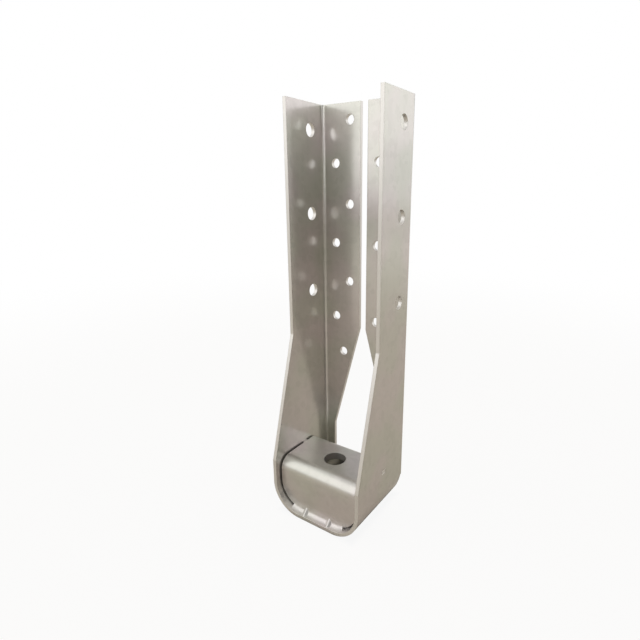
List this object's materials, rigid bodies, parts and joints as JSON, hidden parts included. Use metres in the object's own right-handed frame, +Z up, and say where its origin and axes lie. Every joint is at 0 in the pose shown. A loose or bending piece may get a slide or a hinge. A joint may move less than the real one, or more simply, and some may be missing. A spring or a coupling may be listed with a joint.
{
  "type": "hold down bracket",
  "caption": "Folded galvanised sheet steel channel with staggered screw holes in its back flanges and a lanced seat at the foot for an anchor bolt",
  "frame": {"origin": "the middle of the bounding box's underside, on the plane that the foot's lip and the seat's leg stand on", "axes": "+Z runs up the channel, +Y points at the post behind the back flanges, -Y is the open side with the seat, +X is the right wall seen from the open side"},
  "size_m": [0.0762, 0.067, 0.296],
  "materials": {
    "galvanised_steel": "satin grey zinc coat"
  },
  "bodies": {
    "root": {"hold_down_bracket": "galvanised_steel"}
  },
  "joints": []
}
